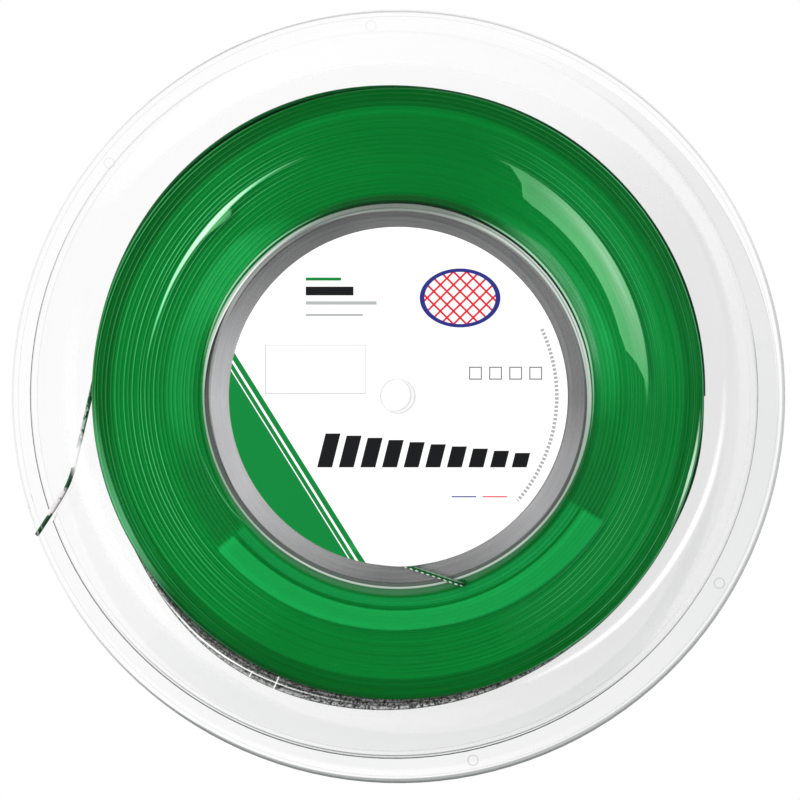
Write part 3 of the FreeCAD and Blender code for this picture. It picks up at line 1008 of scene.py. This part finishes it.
FRONT_ARCS = (
    # Painted grey reflection of the dark side of the room, on the plate's edge zone at the right
    Arc("8c9090", (
        (-85, 93.2, 98.6, 0), (-60, 93, 98.6, 0.14), (-30, 92.8, 98.6, 0.22), (-5, 92.8, 98.6, 0.26),
        (8, 92.8, 98.2, 0.24), (14, 93, 97.9, 0),
    ), soft=0.5),
    Arc("d6d7d6", (
        (6, 93.6, 98.3, 0), (13, 93.1, 97.9, 0.75), (30, 93, 97.1, 0.8), (40, 93.2, 96.6, 0.75),
        (48, 93.2, 96.3, 0.6), (60, 93.8, 96.1, 0.3), (70, 94, 96, 0),
    ), soft=0.5),
    # A thin painted reflection line along its outer edge
    Arc("80868a", (
        (6, 98.2, 98.45, 0), (15, 97.75, 98.05, 0.34), (30, 97, 97.3, 0.26), (48, 96.3, 96.55, 0.2),
        (80, 95.9, 96.1, 0),
    )),
    # Painted reflection on the plate over the outer zone: a wide pale band at the right, faint below
    Arc("e5e6e5", (
        (-50, 88.6, 92.6, 0), (-35, 88.6, 92.6, 0.35), (0, 88.5, 91.6, 0.4), (14, 88.8, 92, 0.5),
        (28, 89.3, 92.6, 0.9), (45, 88.7, 92.4, 0.9), (60, 86.4, 94.5, 0.75), (90, 86, 97, 0.7),
        (130, 87, 94, 0.7), (150, 90, 94, 0),
    ), soft=0.9),
    # A thin painted white reflection band that runs from the winding's lower right edge outwards
    Arc("ffffff", (
        (-68, 80.4, 81.2, 0), (-60, 80.7, 81.6, 0.5), (-45, 81.6, 82.7, 0.9), (-30, 82.4, 83.6, 0.95),
        (-15, 83.4, 84.5, 0.9), (-5, 83.9, 84.9, 0.45), (4, 84.2, 85, 0),
    ), soft=0.8),
    # Painted grey shade outside it, and painted greyer shade at the lower left and near the rim below
    Arc("8c9090", (
        (-170, 86, 89.5, 0), (-160, 86, 89.5, 0.06), (-140, 85, 91.5, 0.1), (-120, 84.2, 92.4, 0.13),
        (-105, 86, 92.4, 0.1), (-75, 88.4, 92.4, 0.09), (-60, 88, 92.4, 0.15), (-45, 87.2, 91.2, 0.1),
        (-30, 84.8, 87.8, 0.11), (-15, 84.8, 86, 0.08), (0, 84.8, 86, 0), (10, 86.4, 88.2, 0.05),
        (28, 87.4, 88.8, 0.08), (45, 87.6, 88.4, 0),
    ), soft=0.9),
    Arc("8c9090", (
        (-175, 94.6, 98.6, 0), (-150, 94.6, 98.2, 0.05), (-122, 94, 97.4, 0.08),
        (-100, 93.2, 96.8, 0.14), (-80, 93.2, 96.8, 0.11), (-55, 93.2, 96.8, 0),
    ), soft=0.8),
    # Painted pale light tone near the winding at the bottom and the left
    Arc("e3e4e3", (
        (-200, 84, 87, 0), (-180, 84, 87, 0.5), (-165, 81.6, 86.4, 0.7), (-140, 81.8, 85.4, 0.6),
        (-118, 82.8, 86, 0.25), (-80, 82, 86, 0.25), (-65, 82, 84, 0),
    ), soft=1.8),
    # Painted grey of the outer rim, where its edge mirrors the room: strongest at the bottom, and further
    # in at the top
    Arc("747878", (
        (-150, 99.8, 100.2, 0), (-135, 99.7, 100.2, 0.42), (-120, 99.1, 100.2, 0.68),
        (-90, 98.7, 100.2, 0.72), (-65, 98.6, 100.2, 0.62), (-45, 98.8, 100.2, 0.5),
        (-20, 98.9, 100.2, 0.32), (15, 99.1, 100.2, 0.2), (34, 99.6, 100, 0),
    ), soft=0.2),
    Arc("747878", (
        (25, 99.5, 99.9, 0), (42, 99.2, 99.6, 0.26), (60, 99.1, 99.5, 0.34), (90, 99.2, 99.6, 0.38),
        (105, 99.4, 99.8, 0.42), (120, 99.75, 100.15, 0.22), (140, 99.8, 100.2, 0),
    ), soft=0.2),
    # Painted light grey over the hub's shaded cavity, between the label and the hub's wall
    Arc("d2d2d4", (
        (-180, 43, 48.6, 0.6), (-150, 43, 48.7, 0.6), (-120, 43, 48.4, 0.36), (-95, 43, 48.3, 0.18),
        (-70, 43, 48.4, 0.26), (-40, 43, 48.8, 0.5), (-20, 43, 48.6, 0.42), (0, 43, 48.3, 0.23),
        (45, 43, 48.2, 0.17), (75, 43, 48, 0.1), (110, 43, 48.1, 0.09), (135, 43, 48.3, 0.17),
        (150, 43, 48.4, 0.28), (165, 43, 48.6, 0.48), (180, 43, 48.6, 0.6),
    ), soft=0.3, streaks=0.06),
    # Painted reflections and shade at the edges of the hub's wall: greys, a dark line, then a pale zone
    Arc("b6b8b6", (
        (-8, 48.2, 48.8, 0), (10, 48.2, 48.7, 0.2), (60, 47.9, 48.6, 0.3), (90, 48, 48.6, 0.15),
        (118, 48.4, 49, 0.25), (135, 48.6, 49.4, 0.5), (150, 48.6, 49.6, 0.6), (165, 48.4, 49.4, 0.45),
        (182, 48.4, 49.1, 0.6), (205, 48.4, 48.9, 0),
    ), soft=0.3),
    Arc("626a64", (
        (-180, 49.25, 50.05, 0.5), (-150, 48.9, 49.9, 0.64), (-120, 48.5, 49.35, 0.7),
        (-75, 48.5, 49.2, 0.75), (-30, 48.55, 49.65, 0.6), (-10, 48.5, 49.1, 0.5),
        (10, 48.3, 48.6, 0.25), (30, 48, 48.3, 0), (160, 48.9, 49.6, 0), (180, 49.25, 50.05, 0.5),
    ), soft=0.2),
    Arc("ccdcd0", (
        (-180, 50.25, 50.75, 0.45), (-150, 49.95, 50.45, 0.5), (-120, 49.45, 50, 0.72),
        (-75, 49.35, 49.9, 0.65), (-50, 49.5, 50.1, 0.72), (-30, 49.65, 50.15, 0.58),
        (-12, 49.2, 50.2, 0.5), (0, 48.95, 50.15, 0.6), (15, 48.75, 50, 0.7), (40, 48.45, 49.75, 0.62),
        (60, 48.3, 49.7, 0.5), (75, 48, 49.85, 0.25), (95, 48.1, 50, 0.22), (120, 49.1, 50.4, 0.34),
        (135, 49.5, 50.5, 0.55), (150, 49.7, 50.8, 0.6), (165, 50.15, 50.95, 0.6),
        (180, 50.25, 50.75, 0.45),
    ), soft=0.2),
    Arc("f0f4f0", (
        (-6, 49.6, 49.8, 0), (15, 49.5, 49.8, 0.4), (45, 49.4, 49.75, 0.4), (66, 49.4, 49.6, 0),
    )),
    Arc("f0f4f0", (
        (6, 48.9, 49.1, 0), (24, 48.75, 49, 0.35), (58, 48.6, 48.95, 0.35), (74, 48.5, 48.8, 0),
    )),
    Arc("f0f4f0", (
        (112, 49.9, 50.3, 0), (128, 49.75, 50.1, 0.4), (140, 49.75, 50.1, 0.75),
        (152, 49.85, 50.2, 0.75), (168, 50.2, 50.5, 0.3), (180, 50.4, 50.6, 0),
    ), soft=0.2),
    # Thin painted dark lines of shade in and outside the pale zone, then a painted pale highlight line
    Arc("2c3a30", (
        (0, 49.4, 49.7, 0), (20, 49.15, 49.45, 0.35), (62, 49.1, 49.4, 0.4), (85, 48.6, 48.9, 0.2),
        (108, 49, 49.4, 0.4), (125, 49.1, 49.5, 0.3), (136, 49.3, 49.5, 0),
    )),
    Arc("101f14", (
        (-4, 50.2, 50.35, 0), (15, 50.08, 50.34, 0.5), (30, 49.92, 50.3, 0.6), (45, 49.85, 50.2, 0.7),
        (60, 49.85, 50.3, 0.8), (75, 49.9, 50.8, 0.8), (90, 50.05, 50.9, 0.8), (105, 50.3, 51.1, 0.75),
        (120, 50.55, 50.95, 0.75), (135, 50.82, 51.12, 0.55), (150, 51, 51.3, 0.35),
        (160, 51.2, 51.4, 0),
    )),
    Arc("aee0be", (
        (-14, 50.6, 50.8, 0), (0, 50.45, 50.75, 0.45), (15, 50.42, 50.95, 0.7), (48, 50.35, 50.85, 0.75),
        (60, 50.35, 50.8, 0.5), (68, 50.6, 50.8, 0), (112, 51, 51.2, 0), (120, 51, 51.3, 0.35),
        (135, 51.18, 51.6, 0.65), (150, 51.38, 51.75, 0.65), (164, 51.2, 51.6, 0.25),
        (172, 51.2, 51.4, 0),
    )),
    # Painted light and shade on the wall's foot seen past it: muted green below, paler at the right, deep
    # at the top and left
    Arc("4a7c58", (
        (-185, 50.1, 50.8, 0), (-140, 50.1, 51.4, 0.5), (-90, 49.9, 51.6, 0.6), (-55, 49.9, 51.1, 0.5),
        (-20, 50, 50.6, 0.4), (0, 50.2, 50.5, 0),
    ), soft=0.8),
    Arc("86c49c", (
        (2, 51.4, 52.6, 0), (15, 51.2, 53, 0.3), (30, 51.2, 54, 0.34), (45, 51.2, 54.2, 0.3),
        (60, 51.2, 52.4, 0),
    ), soft=0.7, streaks=0.6),
    Arc("1f3e24", (
        (48, 50.6, 52.4, 0), (64, 50.6, 52.4, 0.4), (105, 50.6, 52.4, 0.5), (128, 51, 52.4, 0),
    ), soft=0.9),
    Arc("0f4420", (
        (158, 51.3, 52.4, 0), (172, 51.3, 52.3, 0.35), (190, 51.3, 52.3, 0.35), (212, 51, 52.2, 0),
    ), soft=0.9),
    # A painted pale highlight line beyond it at the lower left
    Arc("5cb880", (
        (-172, 53.6, 53.8, 0), (-157, 52.85, 53.1, 0.5), (-146, 52.2, 52.45, 0.5), (-136, 50.8, 51, 0),
    )),
    # Painted reflection, a lens of shine at the upper right: a green wash, paler towards its outer edge
    Arc("70cc87", (
        (-3, 64.45, 64.6, 0), (0, 64.35, 64.65, 0.25), (4, 63.95, 64.95, 0.5), (8, 62.35, 65.2, 0.56),
        (11.5, 60.2, 65.3, 0.56), (16, 59.7, 65.5, 0.56), (28, 60.1, 65.9, 0.65), (40, 60.2, 66.2, 0.65),
        (48, 60.3, 66.45, 0.56), (55, 60.35, 66.6, 0.46), (58, 60.9, 66.65, 0.42),
        (60, 63.8, 66.75, 0.45), (64, 66.35, 66.75, 0.4), (68, 66.5, 66.8, 0),
    ), soft=0.25, streaks=0.08),
    Arc("e2f8e4", (
        (6, 63, 65, 0), (14, 62.8, 65.3, 0.1), (24, 63, 65.6, 0.18), (34, 63.6, 65.9, 0.26),
        (44, 64.2, 66.1, 0.2), (60, 65, 66.5, 0),
    ), soft=0.4, feather=2.4, streaks=0.3),
    # Thin painted reflection lens at the upper left, with a paler green patch inside its widest part
    Arc("70cc87", (
        (131.6, 64.9, 66, 0), (132.6, 64, 66, 0.5), (134.5, 63.9, 66, 0.55), (137.5, 64.3, 66, 0.5),
        (140.5, 65, 66, 0.35), (142, 65.2, 66, 0),
    ), soft=0.3, streaks=0.3),
    Arc("8cf4b0", (
        (110, 66.6, 66.8, 0), (120, 66.35, 66.8, 0.5), (127, 66, 66.75, 0.7), (136, 65.3, 66.6, 0.6),
        (152, 65.35, 66.1, 0.75), (160, 65.35, 65.75, 0.8), (166, 65.5, 65.75, 0.4),
        (172, 65.7, 65.9, 0),
    ), soft=0.2, feather=0.35),
    Arc("f4fff6", (
        (122, 66.3, 66.8, 0), (132, 65.6, 66.7, 0.45), (140, 65.15, 66.4, 0.6), (150, 65.3, 66.15, 0.3),
        (160, 65.4, 65.75, 0),
    ), soft=0.25, feather=0.4, streaks=0.25),
    # Painted highlight streak at the winding's right edge
    Arc("d0f4d8", (
        (-26, 78.3, 78.4, 0), (-20, 77.95, 78.45, 0.6), (-15, 77.8, 78.6, 0.75), (-9, 78.05, 78.6, 0.65),
        (-2, 78.3, 78.45, 0),
    ), soft=0.2),
    # Painted highlight, paler green, along the winding's lower left edge
    Arc("6cc48c", (
        (-182, 78.6, 79.1, 0), (-172, 77.9, 79.2, 0.25), (-162, 77.4, 79, 0.4), (-154, 77.3, 78.9, 0.5),
        (-146, 77.4, 78.6, 0.35), (-138, 77.6, 78.2, 0),
    ), soft=0.4),
    # Painted reflection on the plate: the bright band below, which smooths the turns under it
    Arc("1caa50", (
        (-140.2, 56.1, 60.9, 0), (-139.2, 55.9, 61.2, 0.5), (-120, 55.65, 61, 0.5),
        (-100, 55.5, 60.55, 0.5), (-80, 55.45, 60.3, 0.5), (-60, 55.7, 61, 0.5), (-32, 55.95, 62.1, 0.4),
        (-31, 56.1, 61.9, 0),
    ), soft=0.25),
    # Painted white highlight line over the slack turns, with two ticks across it
    Arc("ffffff", (
        (-142, 80, 80.2, 0), (-136, 80.25, 80.6, 0.6), (-130, 80.75, 81.2, 0.8),
        (-124, 80.85, 81.3, 0.85), (-119, 80.85, 81.15, 0.8), (-114, 80.65, 80.9, 0.75),
        (-110, 80.5, 80.7, 0.65), (-105, 80.3, 80.45, 0.5), (-97, 80.1, 80.2, 0),
    )),
    hoop("ffffff", 80.6, 82.4, ((-118.1, 0.7), (-117.85, 0.7)), soft=0.2),
    hoop("ffffff", 79, 82.8, ((-113.2, 0.7), (-112.95, 0.7)), soft=0.2),
)

REAR_ARCS = (
    # Two painted dark lines of shade along the rear rim's edges
    Arc("505454", (
        (-178, 99.75, 100.1, 0.8), (-150, 99.7, 100.1, 0.8), (-110, 99.65, 100.1, 0.9),
        (-60, 99.65, 100.1, 0.85), (-45, 99.7, 100.1, 0.55), (-30, 99.8, 100.1, 0.35),
        (5, 99.8, 100.1, 0.35), (15, 99.9, 100.1, 0),
    )),
    Arc("505454", (
        (142, 99.9, 100.1, 0), (158, 99.8, 100.1, 0.4), (170, 99.75, 100.1, 0.75),
        (182, 99.75, 100.1, 0.8),
    )),
    Arc("5c6060", (
        (-152, 99.1, 99.3, 0), (-130, 98.95, 99.3, 0.45), (-105, 98.95, 99.3, 0.7),
        (-75, 98.95, 99.3, 0.7), (-60, 99.1, 99.4, 0.55), (-48, 99.4, 99.6, 0),
    )),
    # Painted grey shade of the winding's shadow over the rear flange's outer zone, deepest at the lower
    # right
    hoop("8b9090", 80, 99.5, (
        (-135, 0.03), (-90, 0.13), (-50, 0.19), (-10, 0.17), (30, 0.16), (45, 0.11), (56, 0.04), (68, 0),
    ), soft=1),
)

MOULD_MARKS = ((-30.2, 96.3, 0.35), (-78.4, 96.3, 0.35), (141.1, 96.3, 0.12), (94.2, 96.3, 0.12))

STRING_BANDS = (
    # Painted reflection: brighter bands round the lower half, near the hub
    Arc("12984a", (
        (-140.2, 56.5, 61.4, 0), (-139.2, 56.3, 61.7, 0.85), (-120, 56.1, 61.5, 0.85),
        (-100, 56, 61.1, 0.85), (-80, 56, 60.9, 0.85), (-60, 56.3, 61.7, 0.85), (-32, 56.6, 62.8, 0.85),
        (-31, 56.8, 62.6, 0),
    ), soft=0.25),
    Arc("119246", (
        (-140.2, 52.6, 55, 0), (-139.2, 52.6, 55, 0.7), (-90, 52.5, 54.6, 0.8), (-50, 52.3, 55.2, 0.8),
        (-32, 52.4, 55.3, 0.6), (-31, 52.4, 55.2, 0),
    ), soft=0.35),
    # Painted shade: darker green beside them and at the top
    Arc("0a6428", ((-31, 51, 61, 0.5), (-20, 51, 61, 0.45), (-8, 51, 58, 0)), soft=0.8),
    Arc("0a6428", ((-172, 53, 58, 0), (-160, 53, 60, 0.45), (-141, 52, 60.5, 0.45)), soft=1.5),
    hoop("00601e", 51, 73.5, ((50, 0), (75, 0.3), (105, 0.3), (128, 0)), soft=0.4),
    # Painted light: a little brighter at the right, between the lens and the hub and out to the edge, and
    # at the lower left
    Arc("0f9a46", ((-4, 57, 73, 0), (14, 57, 71, 0.38), (45, 57, 72, 0.3), (62, 57, 73, 0)), soft=2),
    hoop("0f9a46", 74, 79, ((-55, 0), (-30, 0.2), (35, 0.14), (62, 0)), soft=2, streaks=0.8),
    Arc("0f9a46", (
        (-176, 74.4, 77.4, 0), (-160, 74.4, 77.4, 0.3), (-148, 74.8, 77.4, 0.35), (-138, 75, 77, 0),
    ), soft=0.8),
    # The outermost turn in the shade at the lower left
    hoop("0a3c1c", 77.9, 80.5, ((-160, 0), (-146, 0.5), (-120, 0.6), (-60, 0)), soft=0.8),
    # Painted light: brighter green near the hub at the right and at the upper left
    Arc("1ba651", ((-8, 51, 57.5, 0), (15, 51, 57.5, 0.75), (45, 51, 56, 0.5), (70, 51, 54, 0)), soft=1.5),
    Arc("1fa852", (
        (120, 52, 55, 0), (136, 51.8, 58.5, 0.55), (152, 51.8, 59, 0.55), (165, 53.4, 60, 0.3),
        (185, 53.4, 60, 0.25), (200, 53.4, 57, 0),
    ), soft=1.8),
    # A few pale specks below
    hoop("7ccf98", 63, 73, ((-125, 0), (-105, 0.5), (-60, 0.5), (-45, 0)), soft=2, specks=0.66),
)

SLACK_ARCS = (
    # Painted deep shade on the slack turns at the lower left, grey in part and green at one end, grainy
    # with pale specks
    hoop("303633", 76, 86, ((-162, 0), (-148, 1), (-60, 1), (-38, 0))),
    hoop("8a8c86", 76, 86, ((-154, 0), (-142, 0.6), (-122, 0.4), (-104, 0))),
    Arc("2e5a3e", ((-160, 76, 86, 0), (-145, 76, 86, 0.5), (-120, 76, 80, 0)), soft=1.5),
    hoop("d6d2d4", 76, 86, (
        (-152, 0), (-140, 0.85), (-110, 0.75), (-75, 0.85), (-50, 0.45), (-40, 0),
    ), specks=0.42),
)

# Stretches of the outer end with painted patches of reflection: from and to y, shade and share
TAIL_GLARE = (
    GlarePatch(-4.2, 3.0, "7f9a8a", 0.4),
    GlarePatch(-11.0, -4.2, "9dada4", 0.6),
    GlarePatch(-14.8, -11.0, "cfd3d1", 0.3),
    GlarePatch(-19.6, -14.8, "e6e6e7", 1.0),
    GlarePatch(-25.8, -19.6, "8fa598", 0.25),
    GlarePatch(-32.8, -25.8, "c6c0c5", 0.9),
)

# Painted highlight lines along the tucked end: distance from its middle line, shade, and share of bare gaps
TUCK_GLINT_LINES = ((0.48, "86a893", 0.3), (-0.42, "dfe8e1", 0.95))


def dress(frame: dict) -> None:
    """Gives the clear nodes that stay their finish, with its painted light, shade and reflections."""
    finishes = {
        "front_flange": ClearPlastic("clear_front", face=27.6, arcs=FRONT_ARCS, marks=MOULD_MARKS),
        "rear_flange": ClearPlastic("clear_rear", face=2.4, arcs=REAR_ARCS),
        "hub_core": ClearPlastic("clear_hub", haze=0.08),
    }
    for node, finish in finishes.items():
        piece = frame["nodes"][node]
        material = finish.build()
        for place in range(len(piece.material_slots)):
            piece.material_slots[place].material = material
        LOG.info("node %s: %s", node, material.name)


def main() -> None:
    """Builds the scene: camera and cords first, then the winding, the label and the finishes."""
    logging.basicConfig(level=logging.INFO)
    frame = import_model()
    Studio().build()
    green = Monofilament("green_string").build()
    tucked = Monofilament("tucked_string", deep="0a4a22", bright="1a6a38", glint_lines=TUCK_GLINT_LINES)
    glared = Monofilament("glared_string", deep="0b3f20", bright="1f6b40", glare_patches=TAIL_GLARE)
    StringEnds().build(tucked.build(), glared.build())
    winding = Winding()
    front = Monofilament("front_string", bands=STRING_BANDS).build()
    winding.face_turns("front_turns", True, 12, front)
    winding.face_turns("rear_turns", False, 8, green)
    turns = winding.outer_layer("outer_turns", 8, green)
    slack = SlackString("slack_string", arcs=SLACK_ARCS)
    winding.slack_turns("slack_turns", 10, slack.build())
    core = winding.core("packed_string", front)
    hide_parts("string_core")
    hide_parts("string_turns")
    Label().build(PrintedPaper("label_print").build())
    dress(frame)


if __name__ == "__main__":
    main()
